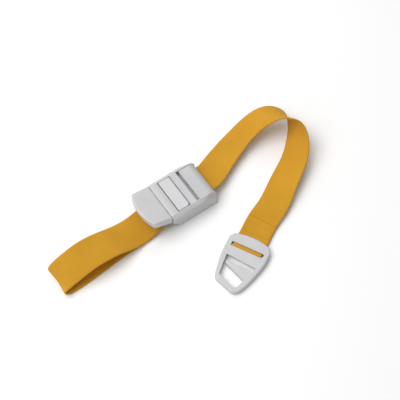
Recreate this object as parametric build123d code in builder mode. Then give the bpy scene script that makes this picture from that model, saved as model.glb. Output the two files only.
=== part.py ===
"""Quick-release elastic strap: a press-release buckle, a webbing strap with a pull loop, and a plug-in tongue.

Millimetres. The origin is the centre of the buckle's underside, +X runs along the buckle towards the end
where the strap goes out to its arch, +Y is across it and +Z is up. Everything rests on the plane Z = 0.
"""
import os
from math import atan, cos, radians, sin

from build123d import *

# Webbing
strap_width = 25.0
strap_thickness = 1.5
thread = 0.3

# Buckle body
body_left = -22.5
body_right = 21.0
body_height = 18.0
inner_half = 15.5
cheek_flat = 0.5
cheek_bevel = 2.0
edge_round = 1.0
outer_half = 18.6
left_edge_z = 8.4
foot_left = -14.0
nose_radius = 8.0
deck_thickness = 2.0
bridge_right = -15.4
strip_left = -3.8
strip_right = 2.2
strip_thickness = 1.8
cap_left = 5.1
cap_inset = 0.7
cap_thickness = 1.5
mouth_z = 10.9
floor_thickness = 1.8
rail_top = 6.0
catch_x = (1.0, 13.0)
catch_z = 4.2

# Strap bed
bed_left = -7.6
bed_right = 17.5
bed_left_z = 10.3
bed_right_z = 8.7
bed_thickness = 1.7
bed_half = inner_half - 0.2

# Release lever: pivot, arms, plate and side walls
pivot_x = -17.0
pivot_z = 9.0
pin_radius = 1.0
pin_half = 17.9
running_gap = 0.05
arm_inner = 13.9
arm_outer = 15.2
boss_radius = 2.3
tab_root_x = -22.8
tab_corner_x = -38.8
tab_tip_x = -42.9
tab_root_half = 17.5
tab_tip_half = 16.6
tab_root_z = 18.6
tab_tip_z = 24.5
tab_past_tip = 4.0
tab_foot_z = 20.4
tab_heel_z = 10.4
tab_wall = 1.8
tab_top_wall = 2.2
catch_left = -12.2
catch_right = -9.8
catch_tip_z = 4.6

# Clamp plate
clamp_x = 0.6
clamp_left = -14.6
clamp_right = -4.4
clamp_z = 14.4
clamp_pin_radius = 0.8
clamp_half = 15.2
panel_round = 0.5
clamp_proud = 0.3
lip_end = 6.6
lip_thickness = 0.6
lip_z = 12.2

# Torsion springs
wire_radius = 0.22
coil_radius = 1.75
coil_pitch = 0.5
coil_length = 1.0
pocket_radius = 2.5
pocket_outer = 17.4

# Straight stretch of the strap, in an upright plane turned a little from the buckle's length
loop_heading = 2.65
loop_offset = 0.15
exit_s = 21.0
exit_z = 9.5
run_slope = 0.296
run_s = -44.0
run_z = 3.6
loop_plane = Plane(
    origin=(0, loop_offset, 0),
    x_dir=(cos(radians(loop_heading)), sin(radians(loop_heading)), 0),
    z_dir=(sin(radians(loop_heading)), -cos(radians(loop_heading)), 0),
)

# Tongue frame: on the floor under the strap bar, x towards the nose, y across
tongue_heading = 29.0
tongue_origin = Vector(13.5, -68.2, 0)
nose_dir = Vector(-cos(radians(tongue_heading)), -sin(radians(tongue_heading)), 0)
across_dir = Vector(sin(radians(tongue_heading)), -cos(radians(tongue_heading)), 0)
tongue_plane = Plane(origin=tongue_origin, x_dir=nose_dir, z_dir=(0, 0, 1))
tongue_side_plane = Plane(origin=tongue_origin, x_dir=nose_dir, z_dir=across_dir * -1)
slit_slant = atan(2.0 / 25.8)
slit_along = across_dir * cos(slit_slant) + nose_dir * sin(slit_slant)
slit_out = nose_dir * cos(slit_slant) - across_dir * sin(slit_slant)
slit_plane = Plane(origin=tongue_origin + nose_dir * 11.0, x_dir=slit_out, z_dir=slit_along * -1)
tongue_rear = -11.6
tongue_thick = 5.2
nose_thick = 4.0
nose_round = 4.0
rear_round = 2.0
rim_round = 1.2
slot_length = 27.6
slit_half = 12.7
undercut = 1.9
undercut_top = 3.6
strap_offset = 0.1
hinge_t = -12.2
sewn_t = -27.0
bar_z = 2.3
bar_radius = 0.8
fold_gap = 0.15

# The strap's arch from the buckle to the tongue: x, y, height of the middle, roll about its own length.
# It rolls right over: the far edge stays near the floor and the near edge passes over the top.
arch_route = [
    (35.5, 5.5, 6.3, 6),
    (50.0, 12.0, 4.6, 13),
    (65.0, 17.7, 5.3, 20),
    (80.0, 20.0, 9.4, 22),
    (94.7, 17.8, 14.8, 25),
    (104.0, 12.0, 16.6, 42),
    (109.3, 4.5, 15.3, 72),
    (109.6, -4.0, 12.9, 105),
    (106.0, -11.8, 10.3, 129),
    (99.0, -20.0, 8.3, 144),
    (88.0, -28.2, 6.2, 156),
    (74.0, -36.4, 4.8, 163),
    (60.5, -44.0, 3.5, 169),
    (48.5, -50.5, 2.5, 177),
]

os.makedirs("parts", exist_ok=True)


def write(piece, name):
    """Label a finished piece and write it as its own STEP file."""
    piece.part.label = name
    export_step(piece.part, f"parts/{name}.step")


def tongue_point(t, across, z):
    """The place in the world of a point given in the tongue's frame."""
    return tongue_origin + nose_dir * t + across_dir * across + Vector(0, 0, z)


# Housing: two cheeks, the deck bars between them and the rounded end cap


def cheek_profile():
    """Side view of a cheek at full size."""
    with BuildSketch() as profile:
        with BuildLine():
            Polyline(
                (body_right - nose_radius, body_height),
                (body_left, body_height),
                (body_left, left_edge_z),
                (foot_left, 0),
                (body_right, 0),
                (body_right, body_height - nose_radius),
            )
            RadiusArc(
                (body_right, body_height - nose_radius),
                (body_right - nose_radius, body_height),
                -nose_radius,
            )
        make_face()
    return profile.sketch


def cheek_face_profile():
    """Side view of a cheek's outer face, which draws in round the nose."""
    with BuildSketch() as profile:
        with BuildLine():
            Polyline(
                (7.5, body_height - cheek_bevel),
                (body_left + 0.5, body_height - cheek_bevel),
                (body_left + 0.5, left_edge_z + 0.2),
                (foot_left + 0.5, 0),
                (body_right - 0.8, 0),
                (body_right - 1.0, 4.5),
            )
            ThreePointArc((body_right - 1.0, 4.5), (14.7, 12.4), (7.5, body_height - cheek_bevel))
        make_face()
    return profile.sketch


with BuildPart() as housing:
    with BuildSketch(Plane.XZ.offset(inner_half)):
        add(cheek_profile())
    extrude(amount=cheek_flat)
    with BuildSketch(Plane.XZ.offset(inner_half + cheek_flat)):
        add(cheek_profile())
    with BuildSketch(Plane.XZ.offset(outer_half)):
        add(cheek_face_profile())
    loft(ruled=True)
    # Recess for a torsion spring and its leg
    with BuildSketch(Plane.XZ.offset(inner_half)):
        with Locations((pivot_x, pivot_z)):
            Circle(pocket_radius)
        with Locations((pivot_x + 3.0, pivot_z - coil_radius)):
            Rectangle(6.0, 1.5)
    extrude(amount=pocket_outer - inner_half, mode=Mode.SUBTRACT)
    # Sockets for the lever's pin and the clamp plate's pin
    with BuildSketch(Plane.XZ.offset(inner_half)):
        with Locations((pivot_x, pivot_z)):
            Circle(pin_radius + running_gap)
        with Locations((clamp_x, clamp_z)):
            Circle(clamp_pin_radius + running_gap)
    extrude(amount=pin_half + running_gap - inner_half, mode=Mode.SUBTRACT)
    # Notches for the floor's catches
    with BuildSketch(Plane.XZ.offset(inner_half)):
        with Locations(*[(x, catch_z) for x in catch_x]):
            Rectangle(4.4, 1.8)
    extrude(amount=1.0, mode=Mode.SUBTRACT)
    mirror(about=Plane.XZ)
    # Deck: the bridge beside the lever and the strip beside the clamp plate
    with BuildSketch(Plane.XZ):
        with Locations(((body_left + bridge_right) / 2, body_height - deck_thickness / 2)):
            Rectangle(bridge_right - body_left, deck_thickness)
        with Locations(((strip_left + strip_right) / 2, body_height - strip_thickness / 2)):
            Rectangle(strip_right - strip_left, strip_thickness)
    extrude(amount=inner_half, both=True)
    top_edges = housing.edges().filter_by(Axis.Y).filter_by_position(Axis.Z, body_height - 0.01, body_height + 0.01)
    fillet(top_edges.filter_by_position(Axis.X, strip_left - 0.01, strip_left + 0.01), edge_round)
    fillet(top_edges.filter_by_position(Axis.X, body_left - 0.01, body_left + 0.01), edge_round)
    # End cap: a shell that follows the nose, a little below the cheeks' rims
    with BuildSketch(Plane.XZ):
        with BuildLine():
            cap_top = body_height - cap_inset
            cap_right = body_right - cap_inset
            bend = nose_radius - cap_inset
            inner_bend = bend - cap_thickness
            FilletPolyline(
                (cap_left, cap_top),
                (cap_right, cap_top),
                (cap_right, mouth_z),
                radius=bend - 1.0,
            )
            Line((cap_right, mouth_z), (cap_right - cap_thickness, mouth_z))
            FilletPolyline(
                (cap_right - cap_thickness, mouth_z),
                (cap_right - cap_thickness, cap_top - cap_thickness),
                (cap_left, cap_top - cap_thickness),
                radius=inner_bend - 1.0,
            )
            Line((cap_left, cap_top - cap_thickness), (cap_left, cap_top))
        make_face()
    extrude(amount=inner_half, both=True)
write(housing, "housing")

# Base plate: the floor, its side rails with catches, and the low wall under the strap's exit

with BuildPart() as base_plate:
    with BuildSketch(Plane.XY):
        with Locations(((foot_left + body_right) / 2 + 0.2, 0)):
            Rectangle(body_right - foot_left - 0.6, 2 * inner_half - 0.2)
    extrude(amount=floor_thickness)
    chamfer(base_plate.faces().sort_by(Axis.X)[0].edges().sort_by(Axis.Z)[-1], 1.2)
    with BuildSketch(Plane.XY.offset(floor_thickness)):
        with Locations((6.5, 14.9), (6.5, -14.9)):
            Rectangle(22.0, 1.0)
        with Locations((19.9, 0)):
            Rectangle(1.8, 2 * inner_half - 0.2)
    extrude(amount=rail_top - floor_thickness)
    with BuildSketch(Plane.XY.offset(catch_z - 0.7)):
        with Locations(*[(x, side * 15.8) for x in catch_x for side in (1, -1)]):
            Rectangle(4.0, 0.8)
    extrude(amount=1.4)
write(base_plate, "base_plate")

# Strap bed: the sloping floor of the strap's passage, with gripping ribs under the clamp plate

with BuildPart() as strap_bed:
    with BuildSketch(Plane.XZ):
        with BuildLine():
            Polyline(
                (bed_left, bed_left_z),
                (bed_right, bed_right_z),
                (bed_right, bed_right_z - bed_thickness),
                (bed_left, bed_left_z - bed_thickness),
                close=True,
            )
        make_face()
    extrude(amount=bed_half, both=True)
    with BuildSketch(Plane.XZ.offset(bed_half)):
        with BuildLine():
            Polyline(
                (-4.5, rail_top),
                (bed_right, rail_top),
                (bed_right, bed_right_z - 1.0),
                (-4.5, bed_left_z - 1.2),
                close=True,
            )
        make_face()
    extrude(amount=-1.4)
    mirror(about=Plane.XZ)
    with BuildSketch(Plane.XZ):
        with Locations((-6.6, 10.05), (-5.0, 9.95), (-3.4, 9.85)):
            Circle(0.35)
    extrude(amount=strap_width / 2, both=True)
write(strap_bed, "strap_bed")

# Exit bar: the strap runs over this polished pin as it leaves the buckle

with BuildPart() as exit_bar:
    with BuildSketch(Plane.XZ):
        with Locations((19.2, 7.2)):
            Circle(1.0)
    extrude(amount=inner_half - 0.1, both=True)
    chamfer(exit_bar.edges().filter_by(GeomType.CIRCLE), 0.2)
write(exit_bar, "exit_bar")

# Release lever: a hollow wedge-shaped tab, two arms round the strap, and the catch bar under it


def tab_side(top_drop):
    """Side view of the tab, past its rounded tip, lowered by top_drop."""
    rise = (tab_tip_z - tab_root_z) / (tab_root_x - tab_tip_x)
    past_tip_x = tab_tip_x - tab_past_tip
    with BuildSketch() as side:
        with BuildLine():
            Polyline(
                (tab_root_x, tab_root_z - top_drop),
                (past_tip_x, tab_tip_z + tab_past_tip * rise - top_drop),
                (past_tip_x, tab_foot_z - top_drop),
                (tab_root_x, tab_heel_z - top_drop),
                close=True,
            )
        make_face()
    return side.sketch


def tab_plan(inset):
    """Top view of the tab, drawn in by inset on its three free sides."""
    root_half = tab_root_half - inset
    tip_half = tab_tip_half - inset
    corner = tab_corner_x + inset
    with BuildSketch() as plan:
        with BuildLine():
            Polyline(
                (corner, tip_half),
                (tab_root_x, root_half),
                (tab_root_x, -root_half),
                (corner, -tip_half),
            )
            ThreePointArc((corner, -tip_half), (tab_tip_x + inset, 0), (corner, tip_half))
        make_face()
        fillet(plan.vertices().group_by(Axis.X)[0], 2.0)
    return plan.sketch


with BuildPart() as tab_hollow:
    with BuildSketch(Plane.XZ):
        add(tab_side(tab_top_wall))
    extrude(amount=outer_half, both=True)
    with BuildSketch(Plane.XY):
        add(tab_plan(tab_wall))
    extrude(amount=2 * body_height, mode=Mode.INTERSECT)

with BuildPart() as release_lever:
    with BuildSketch(Plane.XZ):
        add(tab_side(0))
    extrude(amount=outer_half, both=True)
    with BuildSketch(Plane.XY):
        add(tab_plan(0))
    extrude(amount=2 * body_height, mode=Mode.INTERSECT)
    fillet(release_lever.faces().filter_by(lambda f: f.normal_at().Z > 0.8).edges(), 1.2)
    add(tab_hollow.part, mode=Mode.SUBTRACT)
    # One arm: from the side wall back past the pivot, down to the catch bar
    with BuildSketch(Plane.XZ.offset(arm_inner)):
        with BuildLine():
            Polyline(
                (-27.0, 12.3),
                (-27.0, 17.4),
                (-21.0, 15.2),
                (-14.4, 13.7),
                (-12.5, 13.7),
                (catch_right, 8.2),
                (catch_right, 6.9),
                (catch_left, 6.9),
                (pivot_x, pivot_z - boss_radius),
                (pivot_x - boss_radius, pivot_z),
                close=True,
            )
        make_face()
        with Locations((pivot_x, pivot_z)):
            Circle(boss_radius)
    extrude(amount=arm_outer - arm_inner)
    # Web that joins the arm to the side wall of the tab
    with BuildSketch(Plane.XZ.offset(arm_outer - 0.2)):
        with BuildLine():
            Polyline((-27.0, 12.4), (-27.0, 17.2), (-23.6, 16.2), (-23.6, 11.2), close=True)
        make_face()
    extrude(amount=1.4)
    mirror(about=Plane.XZ)
    # Catch bar, and the sloped catch that drops into the tongue's window
    with BuildSketch(Plane.XZ):
        with Locations(((catch_left + catch_right) / 2, 7.55)):
            Rectangle(catch_right - catch_left, 1.3)
    extrude(amount=arm_outer, both=True)
    with BuildSketch(Plane.XZ):
        with BuildLine():
            Polyline(
                (catch_left, 7.0),
                (catch_right, 7.0),
                (catch_right, catch_tip_z),
                (catch_right - 0.6, catch_tip_z),
                close=True,
            )
        make_face()
    extrude(amount=5.0, both=True)
    with BuildSketch(Plane.XZ):
        with Locations((pivot_x, pivot_z)):
            Circle(pin_radius + running_gap)
    extrude(amount=outer_half, both=True, mode=Mode.SUBTRACT)
write(release_lever, "release_lever")

# Lever pin

with BuildPart() as lever_pin:
    with BuildSketch(Plane.XZ):
        with Locations((pivot_x, pivot_z)):
            Circle(pin_radius)
    extrude(amount=pin_half, both=True)
    chamfer(lever_pin.edges().filter_by(GeomType.CIRCLE), 0.2)
write(lever_pin, "lever_pin")

# Lever springs: a torsion coil in each cheek's recess, with a straight leg along the recess

with BuildPart() as lever_spring_near:
    with BuildLine() as coil:
        Helix(
            pitch=coil_pitch,
            height=coil_length,
            radius=coil_radius,
            center=(pivot_x, -inner_half - 0.35, pivot_z),
            direction=(0, -1, 0),
        )
        leg_start = coil.line @ 1
        Line(leg_start, leg_start + (coil.line % 1) * 3.0)
    with BuildSketch(Plane(origin=coil.line @ 0, z_dir=coil.line % 0)):
        Circle(wire_radius)
    sweep(path=coil.line, transition=Transition.RIGHT)
write(lever_spring_near, "lever_spring_near")

with BuildPart() as lever_spring_far:
    mirror(lever_spring_near.part, about=Plane.XZ)
write(lever_spring_far, "lever_spring_far")

# Clamp plate: the toothed plate in the deck, hinged under the strip, that presses the strap on its bed

with BuildPart() as clamp_plate:
    with BuildSketch(Plane.XZ):
        with BuildLine():
            Polyline(
                (clamp_left, body_height + clamp_proud),
                (clamp_right, body_height + clamp_proud),
                (clamp_right, clamp_z + 1.3),
                (clamp_x, clamp_z + 1.3),
                (clamp_x, clamp_z - 1.5),
                (-2.5, 13.2),
                (-6.8, 13.2),
                (-7.4, 14.0),
                (clamp_left, 14.0),
                close=True,
            )
        make_face()
        with Locations((clamp_x, clamp_z)):
            Circle(1.5)
    extrude(amount=clamp_half, both=True)
    # Rounded corner of the panel beside the near cheek
    corner = clamp_plate.edges().filter_by(Axis.Z).filter_by(lambda e: abs(e.center().X - clamp_right) < 0.01)
    fillet(corner.sort_by(Axis.Y)[0], 2.4)
    panel_edges = clamp_plate.faces().sort_by(Axis.Z)[-1].edges()
    fillet(panel_edges.sort_by(Axis.X)[1:], panel_round)
    # Lips that close the gaps in the deck from below: one beyond the hinge, one under the bridge
    with BuildSketch(Plane.XZ):
        with BuildLine():
            Polyline(
                (clamp_x, clamp_z - 0.2),
                (clamp_x + 1.4, clamp_z - 0.2),
                (clamp_x + 2.6, lip_z + lip_thickness),
                (lip_end, lip_z + lip_thickness),
                (lip_end, lip_z),
                (clamp_x + 1.6, lip_z),
                (clamp_x, clamp_z - 1.2),
                close=True,
            )
        make_face()
    extrude(amount=clamp_half, both=True)
    with BuildSketch(Plane.XZ):
        with Locations((clamp_left - 0.7, 14.3)):
            Rectangle(2.2, lip_thickness)
    extrude(amount=arm_inner - 0.4, both=True)
    # Three rows of teeth, their steep faces turned against the arch's pull
    with BuildSketch(Plane.XZ):
        for tooth_x in (-6.3, -4.9, -3.5):
            with BuildLine():
                Polyline((tooth_x - 0.5, 13.3), (tooth_x + 0.6, 13.3), (tooth_x - 0.3, 12.2), close=True)
            make_face()
    extrude(amount=strap_width / 2, both=True)
    # Gap in the hinge barrel for the spring
    with BuildSketch(Plane.XY.offset(clamp_z - 2.0)):
        with Locations((clamp_x + 0.1, 0)):
            Rectangle(4.4, 5.0)
    extrude(amount=4.0, mode=Mode.SUBTRACT)
    with BuildSketch(Plane.XZ):
        with Locations((clamp_x, clamp_z)):
            Circle(clamp_pin_radius + running_gap)
    extrude(amount=outer_half, both=True, mode=Mode.SUBTRACT)
write(clamp_plate, "clamp_plate")

# Clamp pin

with BuildPart() as clamp_pin:
    with BuildSketch(Plane.XZ):
        with Locations((clamp_x, clamp_z)):
            Circle(clamp_pin_radius)
    extrude(amount=pin_half, both=True)
    chamfer(clamp_pin.edges().filter_by(GeomType.CIRCLE), 0.15)
write(clamp_pin, "clamp_pin")

# Clamp spring: a torsion coil in the gap of the hinge barrel, its leg under the deck's strip

with BuildPart() as clamp_spring:
    with BuildLine() as clamp_coil:
        Helix(
            pitch=coil_pitch,
            height=7 * coil_pitch,
            radius=1.2,
            center=(clamp_x, 3.5 * coil_pitch, clamp_z),
            direction=(0, -1, 0),
        )
    with BuildSketch(Plane(origin=clamp_coil.line @ 0, z_dir=clamp_coil.line % 0)):
        Circle(wire_radius)
    sweep(path=clamp_coil.line)
write(clamp_spring, "clamp_spring")

# Strap: tail, pull loop, run through the buckle, arch, and the doubled end sewn behind the tongue

with BuildPart() as strap:
    with BuildSketch(loop_plane):
        with BuildLine() as loop_line:
            FilletPolyline(
                (-29.0, run_z + (-29.0 - run_s) * run_slope - 1.7),
                (-47.9, strap_thickness / 2),
                (-123.8, strap_thickness / 2),
                (-123.8, 6.7),
                (-97.0, 18.6),
                (-57.0, 4.6),
                (run_s, run_z),
                (pivot_x, 11.4),
                (-8.0, 11.3),
                (exit_s, exit_z),
                radius=(30, 2.6, 2.6, 26, 18, 18, 12, 20),
            )
        trace(line_width=strap_thickness)
    extrude(amount=strap_width / 2, both=True)
    exit_point = loop_plane.from_local_coords((exit_s, exit_z, 0))
    arch_points = [exit_point] + [Vector(*row[:3]) for row in arch_route]
    arch_points.append(tongue_point(sewn_t, strap_offset, 1.5 * strap_thickness))
    rolls = [0] + [row[3] for row in arch_route] + [180]
    headings = [loop_plane.x_dir] + [
        (ahead - behind).normalized() for behind, ahead in zip(arch_points, arch_points[2:])
    ] + [nose_dir]
    stations = []
    for place, roll, heading in zip(arch_points, rolls, headings):
        level = heading.cross(Vector(0, 0, 1)).normalized()
        across = level.rotate(Axis((0, 0, 0), heading), -roll)
        stations.append(Plane(origin=place, x_dir=across, z_dir=heading))
    for behind, ahead in zip(stations, stations[1:]):
        with BuildSketch(behind):
            Rectangle(strap_width, strap_thickness)
        with BuildSketch(ahead):
            Rectangle(strap_width, strap_thickness)
        loft(ruled=True)
    with BuildSketch(tongue_plane):
        with Locations(((hinge_t + sewn_t) / 2, strap_offset)):
            Rectangle(hinge_t - sewn_t, strap_width)
    extrude(amount=2 * strap_thickness)
write(strap, "strap")

# Strap end: the two layers inside the tongue and the fold round its bar

with BuildPart() as strap_end:
    with BuildSketch(tongue_side_plane.offset(strap_width / 2 - strap_offset)):
        with Locations((hinge_t / 2 + 0.15, strap_thickness)):
            Rectangle(-hinge_t - 0.3, 2 * strap_thickness)
        with Locations((0, bar_z)):
            Circle(bar_radius + strap_thickness)
            Circle(bar_radius + running_gap, mode=Mode.SUBTRACT)
    extrude(amount=-strap_width)
write(strap_end, "strap_end")

# Stitching: rows of thread across the sewn pull loop, and a box of stitches behind the tongue

loop_stitch_s = -34.5
loop_stitch_plane = Plane(
    origin=loop_plane.from_local_coords((loop_stitch_s, run_z + (loop_stitch_s - run_s) * run_slope, 0)),
    x_dir=loop_plane.x_dir * cos(atan(run_slope)) + Vector(0, 0, sin(atan(run_slope))),
    z_dir=Vector(0, 0, cos(atan(run_slope))) - loop_plane.x_dir * sin(atan(run_slope)),
)

with BuildPart() as loop_stitching:
    with BuildSketch(loop_stitch_plane.offset(strap_thickness / 2 + 0.02)):
        with GridLocations(3.0, 0, 3, 1):
            Rectangle(0.6, strap_width - 4)
    extrude(amount=thread)
write(loop_stitching, "loop_stitching")

with BuildPart() as tongue_stitching:
    with BuildSketch(tongue_plane.offset(2 * strap_thickness + 0.02)):
        with Locations((-20.0, strap_offset)):
            with GridLocations(8.0, 0, 2, 1):
                Rectangle(0.6, strap_width - 4)
            with GridLocations(0, strap_width - 4, 1, 2):
                Rectangle(8.6, 0.6)
    extrude(amount=thread)
write(tongue_stitching, "tongue_stitching")

# Tongue: a moulded plate with a strap slot, and a window for the catch with a tapered finger across it

with BuildPart() as tongue:
    with BuildSketch(tongue_plane) as tongue_outline:
        with BuildLine():
            ThreePointArc((-9.3, -14.6), (tongue_rear, 0), (-9.3, 15.2))
            Polyline((-9.3, 15.2), (-4.8, 18.2), (2.9, 18.2))
            ThreePointArc((2.9, 18.2), (14.0, 16.4), (34.6, 9.6))
            Polyline((34.6, 9.6), (38.2, 5.4), (32.0, -12.6), (28.6, -14.2))
            ThreePointArc((28.6, -14.2), (15.0, -16.8), (-1.0, -17.6))
            Polyline((-1.0, -17.6), (-5.4, -17.6), (-9.3, -14.6))
        make_face()
        fillet(tongue_outline.vertices().filter_by_position(Axis.X, 20, 50), nose_round)
        fillet(tongue_outline.vertices().filter_by_position(Axis.X, -20, 10), rear_round)
    extrude(amount=tongue_thick)
    # The top slopes down towards the nose
    with BuildSketch(tongue_side_plane):
        with BuildLine():
            Polyline(
                (-15.0, 0),
                (42.0, 0),
                (42.0, nose_thick - 0.1),
                (5.0, tongue_thick),
                (-15.0, tongue_thick),
                close=True,
            )
        make_face()
    extrude(amount=25, both=True, mode=Mode.INTERSECT)
    rim = tongue.faces().filter_by(lambda f: f.normal_at().Z > 0.9).edges()
    fold_line = rim.filter_by(lambda e: e.length > 30 and e.geom_type == GeomType.LINE)
    fillet(rim - fold_line, rim_round)
    # Slot over the strap's fold
    with BuildSketch(tongue_plane):
        with Locations((0, 0.3)):
            RectangleRounded(3.9, slot_length, 0.8)
    extrude(amount=tongue_thick, mode=Mode.SUBTRACT)
    # Room under the rear bar for the strap's two layers and its fold
    with BuildSketch(tongue_plane):
        with Locations((-7.5, strap_offset)):
            Rectangle(15.0, strap_width + 0.8)
    extrude(amount=2 * strap_thickness + fold_gap, mode=Mode.SUBTRACT)
    with BuildSketch(tongue_side_plane.offset(-strap_offset)):
        with Locations((0, bar_z)):
            Circle(bar_radius + strap_thickness + fold_gap)
    extrude(amount=strap_width / 2 + 0.4, both=True, mode=Mode.SUBTRACT)
    # Window and slit, leaving the tapered finger
    with BuildSketch(tongue_plane) as window:
        with BuildLine():
            Polyline(
                (10.0, -12.9),
                (12.0, 12.9),
                (15.8, 12.3),
                (14.6, -10.8),
                (17.3, -10.6),
                (25.0, 8.9),
                (32.6, 6.0),
                (33.6, 3.2),
                (28.2, -10.2),
                (26.6, -11.3),
                close=True,
            )
        make_face()
        fillet(window.vertices(), 0.35)
    extrude(amount=tongue_thick, mode=Mode.SUBTRACT)
    # The bar between the slot and the slit draws in towards its underside
    with BuildSketch(slit_plane):
        with BuildLine():
            Polyline((0.3, 0), (-undercut, 0), (0, undercut_top), (0.3, undercut_top), close=True)
        make_face()
    extrude(amount=slit_half, both=True, mode=Mode.SUBTRACT)
    # The finger lies below the rim and slopes down towards the window
    with BuildSketch(tongue_plane.offset(6.2).rotated((0, 8.3, 0))):
        with BuildLine():
            Polyline((13.6, -11.4), (17.6, -11.4), (25.2, 8.9), (15.1, 12.4), close=True)
        make_face()
    extrude(amount=tongue_thick, mode=Mode.SUBTRACT)
    # Holes for the strap bar
    with BuildSketch(tongue_side_plane):
        with Locations((0, bar_z)):
            Circle(bar_radius + running_gap)
    extrude(amount=16.6, both=True, mode=Mode.SUBTRACT)
write(tongue, "tongue")

# Tongue bar: the steel pin inside the strap's fold

with BuildPart() as tongue_bar:
    with BuildSketch(tongue_side_plane):
        with Locations((0, bar_z)):
            Circle(bar_radius)
    extrude(amount=16.4, both=True)
    chamfer(tongue_bar.edges().filter_by(GeomType.CIRCLE), 0.15)
write(tongue_bar, "tongue_bar")
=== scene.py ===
"""The looks of a quick-release elastic strap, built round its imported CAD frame.

Metres. The frame's origin is the centre of the buckle's underside, +X runs along the buckle and +Z
is up.
"""
import math

import bmesh
import bpy
import numpy as np
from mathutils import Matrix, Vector


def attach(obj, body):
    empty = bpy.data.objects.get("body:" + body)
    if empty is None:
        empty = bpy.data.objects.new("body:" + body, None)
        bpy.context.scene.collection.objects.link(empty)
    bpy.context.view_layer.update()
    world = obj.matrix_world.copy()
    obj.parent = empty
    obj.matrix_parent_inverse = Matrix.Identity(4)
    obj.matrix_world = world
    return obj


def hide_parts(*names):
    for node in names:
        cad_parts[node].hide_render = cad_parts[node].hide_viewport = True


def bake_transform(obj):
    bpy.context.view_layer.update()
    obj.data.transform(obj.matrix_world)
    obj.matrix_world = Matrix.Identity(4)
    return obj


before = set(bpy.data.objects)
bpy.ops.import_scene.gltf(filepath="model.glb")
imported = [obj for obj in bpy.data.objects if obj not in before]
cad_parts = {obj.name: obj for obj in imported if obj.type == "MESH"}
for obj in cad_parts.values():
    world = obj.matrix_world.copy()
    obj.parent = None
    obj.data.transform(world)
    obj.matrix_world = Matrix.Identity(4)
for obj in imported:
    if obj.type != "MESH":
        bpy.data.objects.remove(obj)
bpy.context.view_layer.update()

MM = 0.001

# Webbing: its section, the steps it is drawn in, and the pitches of its weave
STRAP_WIDTH = 25.0 * MM
STRAP_THICKNESS = 1.5 * MM
EDGE_ROUNDING = 0.55 * MM
STEP = 0.9 * MM
ACROSS_CUTS = 20
FINE_SAMPLES = 6000
RIB_PITCH = 0.95 * MM
CORD_PITCH = 0.78 * MM
SELVEDGE_WIDTH = 1.3 * MM

# The strap's route: the middle of the webbing in millimetres, and the way from its near edge to its
# far edge, as a plan angle from +X and a tilt above the level, in degrees
TAIL = [
    (-29.0, -2.3, 7.55, 98, 5),
    (-35.0, -3.2, 6.2, 98, 9),
    (-41.0, -3.9, 4.8, 98, 12.5),
    (-47.0, -4.2, 3.55, 96, 12),
    (-52.0, -4.1, 2.3, 94, 6.5),
    (-57.5, -3.9, 1.35, 93, 1.5),
    (-65.0, -4.0, 0.9, 93, 0),
]
FLOOR_RUN = [
    (-75.0, -4.6, 0.78, 93.5, 0),
    (-87.0, -5.7, 0.76, 94, 0),
    (-99.0, -6.7, 0.76, 94, 0),
    (-110.0, -7.2, 0.76, 92.5, 0),
    (-116.0, -7.2, 0.9, 92, 0),
]
LOOP_END = [
    (-120.3, -6.9, 1.9, 91.5, 2),
    (-122.3, -6.3, 4.5, 91, 6),
    (-121.1, -5.8, 7.3, 90.5, 11),
]
LOOP_TOP = [
    (-117.0, -5.5, 9.8, 90.5, 16),
    (-108.0, -5.5, 13.4, 90.5, 21),
    (-96.0, -5.4, 16.4, 90.5, 14),
    (-83.0, -5.3, 15.4, 90.5, 7),
    (-70.0, -5.15, 11.2, 91, 2.5),
    (-60.0, -5.0, 7.2, 92, 8),
    (-50.0, -4.7, 5.55, 95, 14),
    (-41.0, -4.0, 6.5, 98, 13),
    (-31.0, -2.4, 8.75, 97.5, 6),
    (-24.0, -1.0, 9.9, 95, 1.5),
]
BUCKLE_RUN = [
    (-17.0, -0.64, 11.15, 92.65, 0),
    (-8.0, -0.22, 11.25, 92.65, 0),
    (6.0, 0.43, 10.4, 92.65, 0),
    (20.5, 1.1, 9.5, 92.65, 0),
]
ARCH = [
    (28.3, 2.9, 7.6, 106, -2),
    (35.5, 6.3, 6.0, 112, -6),
    (42.7, 9.7, 4.9, 114, -10),
    (50.1, 12.7, 4.4, 112, -14),
    (57.6, 15.5, 4.4, 107, -17.5),
    (65.2, 17.7, 5.2, 100, -21),
    (72.8, 19.4, 6.9, 92, -22),
    (80.3, 20.1, 9.6, 83, -20),
    (87.6, 19.7, 12.9, 73, -18),
    (94.6, 17.8, 16.0, 61.7, -19),
    (101.2, 14.3, 17.7, 53.1, -29),
    (106.1, 9.9, 17.7, 47.3, -42.7),
    (108.3, 6.6, 16.8, 49.8, -53.5),
    (109.3, 4.0, 15.8, 58.9, -61.6),
    (109.7, 1.0, 14.5, 81, -67.2),
    (109.4, -3.0, 12.9, 113.4, -64.9),
    (105.1, -12.4, 9.9, 131.6, -46.9),
    (99.5, -19.2, 8.1, 128.3, -35.7),
    (94.5, -23.7, 6.9, 124, -29),
    (81.0, -32.2, 5.4, 120, -20.5),
    (67.3, -40.4, 4.1, 119, -14),
    (53.6, -48.3, 2.7, 118, -6),
]

# Tongue frame: its origin is on the floor under the pin, NOSE points to the tongue's nose and
# ACROSS runs along the pin. A place along NOSE is called t.
TONGUE_ORIGIN = Vector((13.5, -68.2, 0)) * MM
TONGUE_HEADING = math.radians(29)
NOSE = Vector((-math.cos(TONGUE_HEADING), -math.sin(TONGUE_HEADING), 0))
ACROSS = Vector((math.sin(TONGUE_HEADING), -math.cos(TONGUE_HEADING), 0))
STRAP_OFFSET = 0.1 * MM
BAR_HEIGHT = 2.3 * MM
FOLD_RADIUS = 1.6 * MM
SPLIT_T = -30.0 * MM

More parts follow.
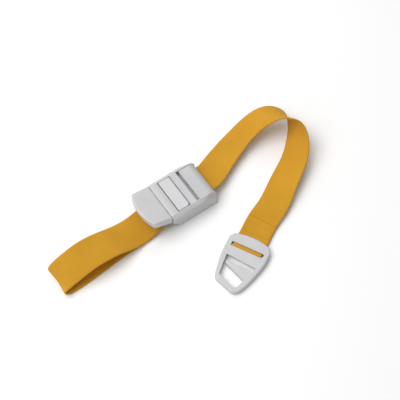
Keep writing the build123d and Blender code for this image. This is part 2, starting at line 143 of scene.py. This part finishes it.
# The fold in the tongue: its upper layer's t in millimetres, its turn round the pin in degrees, and
# the t of its lower layer, which is held LAYER_GAP off the floor
FOLD_UPPER_T = (-27, -20, -13, -7, -3.2)
FOLD_TURN = (112, 75, 30, -15, -55)
FOLD_LOWER_T = (-2.5, -7, -13, -20, -27)
LAYER_GAP = 0.01 * MM

# The share of the line beyond which the split is looked for
SPLIT_SHARE = 0.75


def tongue_point(t, z):
    """A point on the strap's middle line inside the tongue."""
    return TONGUE_ORIGIN + NOSE * t + ACROSS * STRAP_OFFSET + Vector((0, 0, z))


# Materials

# The colour sockets of a Mix node, which lists those of its other data types too
MIX_FACTOR, MIX_A, MIX_B, MIX_RESULT = 0, 6, 7, 2


def new_material(name):
    """A new node material, with its tree and its shader."""
    material = bpy.data.materials.new(name)
    material.use_nodes = True
    tree = material.node_tree
    return material, tree, tree.nodes["Principled BSDF"]


def add_node(tree, kind, inputs=None, **settings):
    """A node with its settings, and its inputs set or linked."""
    node = tree.nodes.new(kind)
    for name, value in settings.items():
        setattr(node, name, value)
    for name, value in (inputs or {}).items():
        if isinstance(value, bpy.types.NodeSocket):
            tree.links.new(value, node.inputs[name])
        else:
            node.inputs[name].default_value = value
    return node


def ramp(tree, factor, stops):
    """A colour ramp through (place, colour) stops."""
    node = add_node(tree, "ShaderNodeValToRGB", {"Fac": factor})
    elements = node.color_ramp.elements
    while len(elements) < len(stops):
        elements.new(0.5)
    for element, (place, colour) in zip(elements, stops):
        element.position = place
        element.color = (*colour, 1)
    return node.outputs["Color"]


def mix(tree, factor, a, b):
    """Colour a, with a share of the plain colour b."""
    node = add_node(tree, "ShaderNodeMix", data_type="RGBA")
    tree.links.new(factor, node.inputs[MIX_FACTOR])
    tree.links.new(a, node.inputs[MIX_A])
    node.inputs[MIX_B].default_value = (*b, 1)
    return node.outputs[MIX_RESULT]


def math_node(tree, operation, a, b=0.0, c=0.0):
    """One sum on up to three numbers or sockets."""
    node = add_node(tree, "ShaderNodeMath", operation=operation)
    for index, value in enumerate((a, b, c)):
        if isinstance(value, bpy.types.NodeSocket):
            tree.links.new(value, node.inputs[index])
        else:
            node.inputs[index].default_value = value
    return node.outputs[0]


def noise(tree, vector, scale, detail, roughness=0.55):
    """Noise over places in metres, with its scale in features per metre."""
    inputs = {"Vector": vector, "Scale": scale, "Detail": detail, "Roughness": roughness}
    return add_node(tree, "ShaderNodeTexNoise", inputs).outputs["Fac"]


def bump(tree, height, strength, distance, under=None):
    """The normal of a bumpy surface, on top of another normal if there is one."""
    inputs = {"Strength": strength, "Distance": distance, "Height": height}
    if under is not None:
        inputs["Normal"] = under
    return add_node(tree, "ShaderNodeBump", inputs).outputs["Normal"]


def vary_roughness(tree, shader, pattern, least, spread):
    """Roughness from least to least + spread, where the pattern runs from 0 to 1."""
    roughness = math_node(tree, "MULTIPLY_ADD", pattern, spread, least)
    tree.links.new(roughness, shader.inputs["Roughness"])


def scaled(colour, factor):
    """A colour made darker or lighter, up to white."""
    return tuple(min(1.0, channel * factor) for channel in colour)


def plastic_material(name, light, dark, rough):
    """Moulded plastic: fine grain, faint flow clouds, paler rubbed edges and painted shade in
    concave corners.
    """
    material, tree, shader = new_material(name)
    place = add_node(tree, "ShaderNodeTexCoord").outputs["Object"]
    clouds = noise(tree, place, scale=90, detail=4)
    grain = noise(tree, place, scale=2600, detail=2, roughness=0.6)
    scuffs = noise(tree, place, scale=700, detail=5, roughness=0.7)
    base = ramp(tree, clouds, [(0.3, dark), (0.72, light)])
    pointy = add_node(tree, "ShaderNodeNewGeometry").outputs["Pointiness"]
    worn = ramp(tree, pointy, [(0.49, (0, 0, 0)), (0.56, (1, 1, 1))])
    worn_patchy = math_node(tree, "MULTIPLY", worn, math_node(tree, "MULTIPLY", scuffs, 0.35))
    base = mix(tree, worn_patchy, base, scaled(light, 1.2))
    # Painted shade: concave corners and recesses are darkened in the colour, standing in for the
    # shade that falls there
    painted_corner_shade = ramp(tree, pointy, [(0.42, (1, 1, 1)), (0.495, (0, 0, 0))])
    base = mix(tree, math_node(tree, "MULTIPLY", painted_corner_shade, 0.25), base, scaled(dark, 0.55))
    tree.links.new(base, shader.inputs["Base Color"])
    vary_roughness(tree, shader, scuffs, least=rough - 0.08, spread=0.16)
    soft_edge = add_node(tree, "ShaderNodeBevel", {"Radius": 0.35 * MM}, samples=6)
    normal = soft_edge.outputs["Normal"]
    normal = bump(tree, grain, strength=0.16, distance=0.05 * MM, under=normal)
    normal = bump(tree, clouds, strength=0.12, distance=0.2 * MM, under=normal)
    tree.links.new(normal, shader.inputs["Normal"])
    shader.inputs["Specular IOR Level"].default_value = 0.45
    return material


def steel_material(name, colour, rough):
    """Ground steel, with faint turning marks round it and a patchy polish."""
    material, tree, shader = new_material(name)
    place = add_node(tree, "ShaderNodeTexCoord").outputs["Object"]
    stretch = {"Vector": place, "Scale": (1.0, 14.0, 1.0)}
    lines = add_node(tree, "ShaderNodeMapping", stretch).outputs["Vector"]
    marks = noise(tree, lines, scale=900, detail=3)
    patches = noise(tree, place, scale=300, detail=3)
    base = ramp(tree, patches, [(0.3, scaled(colour, 0.8)), (0.7, colour)])
    tree.links.new(base, shader.inputs["Base Color"])
    vary_roughness(tree, shader, marks, least=rough - 0.1, spread=0.2)
    normal = bump(tree, marks, strength=0.15, distance=0.02 * MM)
    tree.links.new(normal, shader.inputs["Normal"])
    shader.inputs["Metallic"].default_value = 1.0
    return material


def webbing_material():
    """Elastic webbing: ribs across it, warp cords along it, a darker selvedge and a little fuzz."""
    material, tree, shader = new_material("webbing_weave")
    uv = add_node(tree, "ShaderNodeUVMap", uv_map="weave").outputs["UV"]
    split = add_node(tree, "ShaderNodeSeparateXYZ", {"Vector": uv})
    along, across = split.outputs["X"], split.outputs["Y"]
    place = add_node(tree, "ShaderNodeTexCoord").outputs["Object"]
    wander = math_node(tree, "MULTIPLY", noise(tree, uv, scale=260, detail=3), 1.4)
    rib_phase = math_node(tree, "MULTIPLY_ADD", along, 2 * math.pi / RIB_PITCH, wander)
    rib_wave = math_node(tree, "SINE", rib_phase)
    ribs = math_node(tree, "MULTIPLY_ADD", rib_wave, 0.5, 0.5)
    cord_phase = math_node(tree, "MULTIPLY", across, 2 * math.pi / CORD_PITCH)
    cord_wave = math_node(tree, "SINE", cord_phase)
    cords = math_node(tree, "MULTIPLY_ADD", cord_wave, 0.5, 0.5)
    over_under = math_node(tree, "MULTIPLY", rib_wave, cord_wave)
    weave = math_node(tree, "MULTIPLY", cords, 0.25)
    weave = math_node(tree, "MULTIPLY_ADD", ribs, 0.55, weave)
    weave = math_node(tree, "MULTIPLY_ADD", over_under, 0.25, weave)
    fuzz = noise(tree, place, scale=3200, detail=2, roughness=0.7)
    off_middle = math_node(tree, "ABSOLUTE", across)
    edge = math_node(tree, "SUBTRACT", off_middle, STRAP_WIDTH / 2 - SELVEDGE_WIDTH)
    selvedge = math_node(tree, "MULTIPLY", math_node(tree, "GREATER_THAN", edge, 0.0), 0.5)
    shade = noise(tree, place, scale=34, detail=3)
    base = ramp(tree, shade, [(0.3, (0.52, 0.250, 0.014)), (0.72, (0.61, 0.305, 0.022))])
    # Painted shade: the weave's valleys are darkened in the colour, standing in for the shade
    # between the ribs and cords
    valley_shade = ramp(tree, weave, [(0.05, (1, 1, 1)), (0.55, (0, 0, 0))])
    base = mix(tree, math_node(tree, "MULTIPLY", valley_shade, 0.38), base, (0.36, 0.155, 0.008))
    base = mix(tree, math_node(tree, "MULTIPLY", fuzz, 0.22), base, (0.76, 0.43, 0.055))
    base = mix(tree, math_node(tree, "MULTIPLY", selvedge, 0.35), base, (0.46, 0.21, 0.012))
    tree.links.new(base, shader.inputs["Base Color"])
    vary_roughness(tree, shader, fuzz, least=0.72, spread=0.16)
    normal = bump(tree, weave, strength=0.6, distance=0.11 * MM)
    normal = bump(tree, fuzz, strength=0.3, distance=0.05 * MM, under=normal)
    tree.links.new(normal, shader.inputs["Normal"])
    shader.inputs["Sheen Weight"].default_value = 0.1
    shader.inputs["Sheen Roughness"].default_value = 0.45
    shader.inputs["Sheen Tint"].default_value = (1.0, 0.8, 0.4, 1)
    shader.inputs["Specular IOR Level"].default_value = 0.15
    return material


def thread_material():
    """Twisted sewing thread, a shade lighter than the webbing."""
    material, tree, shader = new_material("sewing_thread")
    place = add_node(tree, "ShaderNodeTexCoord").outputs["Object"]
    wave_inputs = {"Vector": place, "Scale": 900, "Distortion": 2.0}
    twist = add_node(tree, "ShaderNodeTexWave", wave_inputs).outputs["Fac"]
    fuzz = noise(tree, place, scale=4000, detail=2)
    base = ramp(tree, twist, [(0.2, (0.50, 0.23, 0.012)), (0.8, (0.62, 0.32, 0.03))])
    tree.links.new(base, shader.inputs["Base Color"])
    vary_roughness(tree, shader, fuzz, least=0.55, spread=0.2)
    normal = bump(tree, twist, strength=0.4, distance=0.05 * MM)
    tree.links.new(normal, shader.inputs["Normal"])
    return material


WEBBING = webbing_material()
THREAD = thread_material()
SHELL_PLASTIC = plastic_material("shell_plastic", (0.56, 0.56, 0.57), (0.51, 0.51, 0.52), 0.46)
LEVER_PLASTIC = plastic_material("lever_plastic", (0.575, 0.575, 0.582), (0.53, 0.53, 0.54), 0.42)
TONGUE_PLASTIC = plastic_material("tongue_plastic", (0.56, 0.56, 0.57), (0.515, 0.515, 0.525), 0.40)
STEEL = steel_material("ground_steel", (0.62, 0.63, 0.65), 0.32)
SPRING_STEEL = steel_material("spring_steel", (0.42, 0.43, 0.46), 0.38)

NODE_MATERIALS = {
    "housing": SHELL_PLASTIC,
    "base_plate": SHELL_PLASTIC,
    "strap_bed": SHELL_PLASTIC,
    "release_lever": LEVER_PLASTIC,
    "clamp_plate": LEVER_PLASTIC,
    "tongue": TONGUE_PLASTIC,
    "exit_bar": STEEL,
    "lever_pin": STEEL,
    "clamp_pin": STEEL,
    "tongue_bar": STEEL,
    "lever_spring_near": SPRING_STEEL,
    "lever_spring_far": SPRING_STEEL,
    "clamp_spring": SPRING_STEEL,
}
for node_name, material in NODE_MATERIALS.items():
    node_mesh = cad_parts[node_name].data
    node_mesh.materials.clear()
    node_mesh.materials.append(material)


# Webbing: bands that follow a smooth line through the route's stations


def spline(knots, values, at):
    """Natural cubic spline through the values at the knots, worked out at the places in at."""
    count = len(knots)
    gaps = np.diff(knots)
    system = np.eye(count)
    right = np.zeros((count, values.shape[1]))
    for i in range(1, count - 1):
        system[i, i - 1 : i + 2] = gaps[i - 1], 2 * (gaps[i - 1] + gaps[i]), gaps[i]
        slope_after = (values[i + 1] - values[i]) / gaps[i]
        slope_before = (values[i] - values[i - 1]) / gaps[i - 1]
        right[i] = 6 * (slope_after - slope_before)
    bends = np.linalg.solve(system, right)
    span = np.clip(np.searchsorted(knots, at, side="right") - 1, 0, count - 2)
    gap = gaps[span][:, None]
    ahead = (at - knots[span])[:, None]
    left = gap - ahead
    cubic = (bends[span] * left**3 + bends[span + 1] * ahead**3) / (6 * gap)
    start_part = (values[span] / gap - bends[span] * gap / 6) * left
    end_part = (values[span + 1] / gap - bends[span + 1] * gap / 6) * ahead
    return cubic + start_part + end_part


def route_stations():
    """The stations from the sewn tail to the arch's far end: middle points and edge directions."""
    middles, edges = [], []
    for x, y, z, plan, tilt in TAIL + FLOOR_RUN + LOOP_END + LOOP_TOP + BUCKLE_RUN + ARCH:
        plan, tilt = math.radians(plan), math.radians(tilt)
        level = math.cos(tilt)
        middles.append(Vector((x, y, z)) * MM)
        edges.append(Vector((math.cos(plan) * level, math.sin(plan) * level, math.sin(tilt))))
    return middles, edges


def fold_stations():
    """The stations from the sewn stretch to the pin, round it, and back under to the end."""
    upper, lower = 1.5 * STRAP_THICKNESS, 0.5 * STRAP_THICKNESS + LAYER_GAP
    points = [tongue_point(t * MM, upper) for t in FOLD_UPPER_T]
    for degrees in FOLD_TURN:
        turn = math.radians(degrees)
        height = BAR_HEIGHT + FOLD_RADIUS * math.sin(turn)
        points.append(tongue_point(FOLD_RADIUS * math.cos(turn), height))
    points += [tongue_point(t * MM, lower) for t in FOLD_LOWER_T]
    return points, [-ACROSS] * len(points)


def lengths_along(points):
    """How far along the line each point is."""
    gaps = np.linalg.norm(np.diff(points, axis=0), axis=1)
    return np.concatenate([[0], np.cumsum(gaps)])


def sample(middles, edges):
    """The smooth line through the stations in even steps: points, directions, sides and lengths."""
    places = np.array(middles)
    knots = lengths_along(places)
    fine = np.linspace(0, knots[-1], FINE_SAMPLES)
    lengths = lengths_along(spline(knots, places, fine))
    steps = np.linspace(0, lengths[-1], int(lengths[-1] / STEP) + 1)
    at = np.interp(steps, lengths, fine)
    points = spline(knots, places, at)
    directions = np.gradient(points, axis=0)
    directions /= np.linalg.norm(directions, axis=1)[:, None]
    sides = spline(knots, np.array(edges), at)
    sides -= directions * np.sum(sides * directions, axis=1)[:, None]
    sides /= np.linalg.norm(sides, axis=1)[:, None]
    return points, directions, sides, steps


def section():
    """The webbing's outline, as places (across, up): flat faces with rounded edges."""
    flat, half_thickness = STRAP_WIDTH / 2 - EDGE_ROUNDING, STRAP_THICKNESS / 2
    across = np.linspace(-flat, flat, ACROSS_CUTS)
    top = [(w, half_thickness) for w in across]
    corner = [(math.cos(a), math.sin(a)) for a in np.radians((60, 30, 0, -30, -60))]
    right = [(flat + EDGE_ROUNDING * c, half_thickness * s) for c, s in corner]
    bottom = [(w, -half_thickness) for w in across[::-1]]
    left = [(-w, -z) for w, z in right]
    return top + right + bottom + left


def link_piece(name, shape, material):
    """A new object of the shape, with its material, in the scene."""
    bmesh.ops.recalc_face_normals(shape, faces=shape.faces)
    mesh = bpy.data.meshes.new(name)
    shape.to_mesh(mesh)
    shape.free()
    mesh.materials.append(material)
    piece = bpy.data.objects.new(name, mesh)
    bpy.context.scene.collection.objects.link(piece)
    return piece


def band(name, points, directions, sides, steps):
    """A closed band of webbing along the line, with its length and width as the weave's UV."""
    outline = section()
    normals = np.cross(directions, sides)
    count = len(outline)
    shape = bmesh.new()
    weave = shape.loops.layers.uv.new("weave")
    rings = []
    for point, side, normal in zip(points, sides, normals):
        rings.append([shape.verts.new(point + side * w + normal * z) for w, z in outline])
    for index in range(len(rings) - 1):
        behind, ahead = rings[index], rings[index + 1]
        for k in range(count):
            after = (k + 1) % count
            face = shape.faces.new((behind[k], behind[after], ahead[after], ahead[k]))
            face.smooth = True
            spots = ((index, k), (index, after), (index + 1, after), (index + 1, k))
            for loop, (ring, place) in zip(face.loops, spots):
                loop[weave].uv = (steps[ring], outline[place][0])
    for ring, length, flip in ((rings[0], steps[0], False), (rings[-1], steps[-1], True)):
        face = shape.faces.new(ring if flip else ring[::-1])
        for loop in face.loops:
            loop[weave].uv = (length, 0)
    return link_piece(name, shape, WEBBING)


route_middles, route_edges = route_stations()
fold_middles, fold_edges = fold_stations()
line_points, line_directions, line_sides, line_steps = sample(
    route_middles + fold_middles, route_edges + fold_edges
)

# The strap is cut in two where it nears the tongue
beyond_arch = np.arange(len(line_points)) > len(line_points) * SPLIT_SHARE
along_tongue = (line_points - np.array(TONGUE_ORIGIN)) @ np.array(NOSE)
split_at = int(np.argmax(beyond_arch & (along_tongue > SPLIT_T)))

strap_webbing = band(
    "strap_webbing",
    line_points[: split_at + 1],
    line_directions[: split_at + 1],
    line_sides[: split_at + 1],
    line_steps[: split_at + 1],
)
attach(strap_webbing, "buckle")
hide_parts("strap")

strap_tongue_end = band(
    "strap_tongue_end",
    line_points[split_at:],
    line_directions[split_at:],
    line_sides[split_at:],
    line_steps[split_at:],
)
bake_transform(strap_tongue_end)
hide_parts("strap_end")


# Stitching: rows of short thread stitches that dip into the webbing

STITCH_PITCH = 2.1 * MM
STITCH_GAP_SHARE = 0.1
THREAD_RADIUS = 0.16 * MM
THREAD_SIDES = 8
STITCH_RINGS = 7
ARC_RISE = 0.34 * MM
END_DEPTH = 0.14 * MM
END_THINNING = 0.35
SEAM_INSET = 2.0 * MM


def stitch(shape, first, last, side, normal):
    """One stitch, as an arc of thread that is thinner at its sunken ends."""
    turns = [math.radians(angle) for angle in range(0, 360, 360 // THREAD_SIDES)]
    rings = []
    for share in np.linspace(0, 1, STITCH_RINGS):
        swell = math.sin(math.pi * share)
        point = first.lerp(last, share) + normal * (swell * ARC_RISE - END_DEPTH)
        size = THREAD_RADIUS * (1 - END_THINNING + END_THINNING * swell)
        spokes = [side * math.cos(a) * size + normal * math.sin(a) * size for a in turns]
        rings.append([shape.verts.new(point + spoke) for spoke in spokes])
    for behind, ahead in zip(rings, rings[1:]):
        for k in range(THREAD_SIDES):
            after = (k + 1) % THREAD_SIDES
            face = shape.faces.new((behind[k], behind[after], ahead[after], ahead[k]))
            face.smooth = True
    shape.faces.new(rings[0][::-1])
    shape.faces.new(rings[-1])


def stitches(name, rows, body, replaced):
    """Stitches along each row of (start, end, normal)."""
    shape = bmesh.new()
    for start, end, normal in rows:
        run = end - start
        side = run.normalized().cross(normal).normalized()
        total = max(1, round(run.length / STITCH_PITCH))
        for index in range(total):
            first = start + run * ((index + STITCH_GAP_SHARE) / total)
            last = start + run * ((index + 1 - STITCH_GAP_SHARE) / total)
            stitch(shape, first, last, side, normal)
    piece = link_piece(name, shape, THREAD)
    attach(piece, body)
    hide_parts(replaced)


def surface_row(index):
    """A row straight across the webbing at one sample, on its upper face."""
    normal = Vector(np.cross(line_directions[index], line_sides[index]))
    if normal.z <= 0:
        normal = -normal
    middle = Vector(line_points[index]) + normal * (STRAP_THICKNESS / 2)
    side = Vector(line_sides[index])
    reach = STRAP_WIDTH / 2 - SEAM_INSET
    return middle - side * reach, middle + side * reach, normal


def sample_near(x, low, high):
    """The sample on one stretch of the line whose x is nearest."""
    stretch = np.arange(int(low * len(line_points)), int(high * len(line_points)))
    return int(stretch[np.argmin(np.abs(line_points[stretch, 0] - x))])


# Three rows across the loop's upper layer, looked for between these two shares of the line
LOOP_STITCH_X = (-33.0 * MM, -36.0 * MM, -44.0 * MM)
LOOP_TOP_SHARES = (0.3, 0.55)
loop_rows = [surface_row(sample_near(x, *LOOP_TOP_SHARES)) for x in LOOP_STITCH_X]
stitches("loop_stitches", loop_rows, "buckle", "loop_stitching")

BOX_NEAR_T, BOX_FAR_T = -24.3 * MM, -15.7 * MM
BOX_HALF = STRAP_WIDTH / 2 - SEAM_INSET
up = Vector((0, 0, 1))


def box_corner(t, share):
    """A corner of the box of stitches behind the tongue."""
    return tongue_point(t, 2 * STRAP_THICKNESS) + ACROSS * BOX_HALF * share


box_rows = [
    (box_corner(BOX_NEAR_T, -1), box_corner(BOX_NEAR_T, 1), up),
    (box_corner(BOX_FAR_T, -1), box_corner(BOX_FAR_T, 1), up),
    (box_corner(BOX_NEAR_T, -1), box_corner(BOX_FAR_T, -1), up),
    (box_corner(BOX_NEAR_T, 1), box_corner(BOX_FAR_T, 1), up),
]
stitches("tongue_stitches", box_rows, "buckle", "tongue_stitching")


# Stage, light and camera

FLOOR_SIZE = 6
FLOOR_DROP = 0.2 * MM
FLOOR_COLOUR = (0.93, 0.93, 0.93, 1)
FLOOR_ROUGHNESS = 0.9

# Each light's name, place, aim, size and power
LIGHTS = (
    ("key", (-0.47, 0.28, 1.08), (0.0, -0.02, 0), 1.0, 11.8),
    ("fill", (-0.9, -0.35, 0.8), (0.0, -0.02, 0), 1.1, 2.0),
    ("rim", (0.5, 0.8, 0.9), (0.02, -0.02, 0), 0.9, 4.0),
)
WORLD_COLOUR = (1, 1, 1, 1)
WORLD_STRENGTH = 0.35

# The camera, as fitted to the photograph
CAMERA_AZIMUTH = math.radians(-34.83)
CAMERA_ELEVATION = math.radians(62.45)
CAMERA_DISTANCE = 0.824
CAMERA_TARGET = Vector((0.00974, -0.00881, 0))
CAMERA_LENS = 91.2
CAMERA_SENSOR = 36
CAMERA_CLIP_START = 0.01


def floor():
    """A plain pale floor under the object."""
    bpy.ops.mesh.primitive_plane_add(size=FLOOR_SIZE, location=(0, 0, -FLOOR_DROP))
    ground = bpy.context.object
    ground.name = "floor"
    material, _, shader = new_material("floor_white")
    shader.inputs["Base Color"].default_value = FLOOR_COLOUR
    shader.inputs["Roughness"].default_value = FLOOR_ROUGHNESS
    ground.data.materials.append(material)


def area_light(name, place, aim, size, power):
    """A soft square light that points at aim."""
    data = bpy.data.lights.new(name, "AREA")
    data.size = size
    data.energy = power
    lamp = bpy.data.objects.new(name, data)
    lamp.location = place
    lamp.rotation_euler = (Vector(aim) - Vector(place)).to_track_quat("-Z", "Y").to_euler()
    bpy.context.scene.collection.objects.link(lamp)


floor()
for light in LIGHTS:
    area_light(*light)

world = bpy.data.worlds.new("studio")
world.use_nodes = True
background = world.node_tree.nodes["Background"]
background.inputs["Color"].default_value = WORLD_COLOUR
background.inputs["Strength"].default_value = WORLD_STRENGTH
bpy.context.scene.world = world
bpy.context.scene.view_settings.view_transform = "Standard"

camera_data = bpy.data.cameras.new("camera")
camera_data.lens = CAMERA_LENS
camera_data.sensor_width = CAMERA_SENSOR
camera_data.clip_start = CAMERA_CLIP_START
camera = bpy.data.objects.new("camera", camera_data)
level = math.cos(CAMERA_ELEVATION)
camera_back = Vector(
    (
        math.sin(CAMERA_AZIMUTH) * level,
        -math.cos(CAMERA_AZIMUTH) * level,
        math.sin(CAMERA_ELEVATION),
    )
)
camera.location = CAMERA_TARGET + camera_back * CAMERA_DISTANCE
camera.rotation_euler = (-camera_back).to_track_quat("-Z", "Y").to_euler()
bpy.context.scene.collection.objects.link(camera)
bpy.context.scene.camera = camera
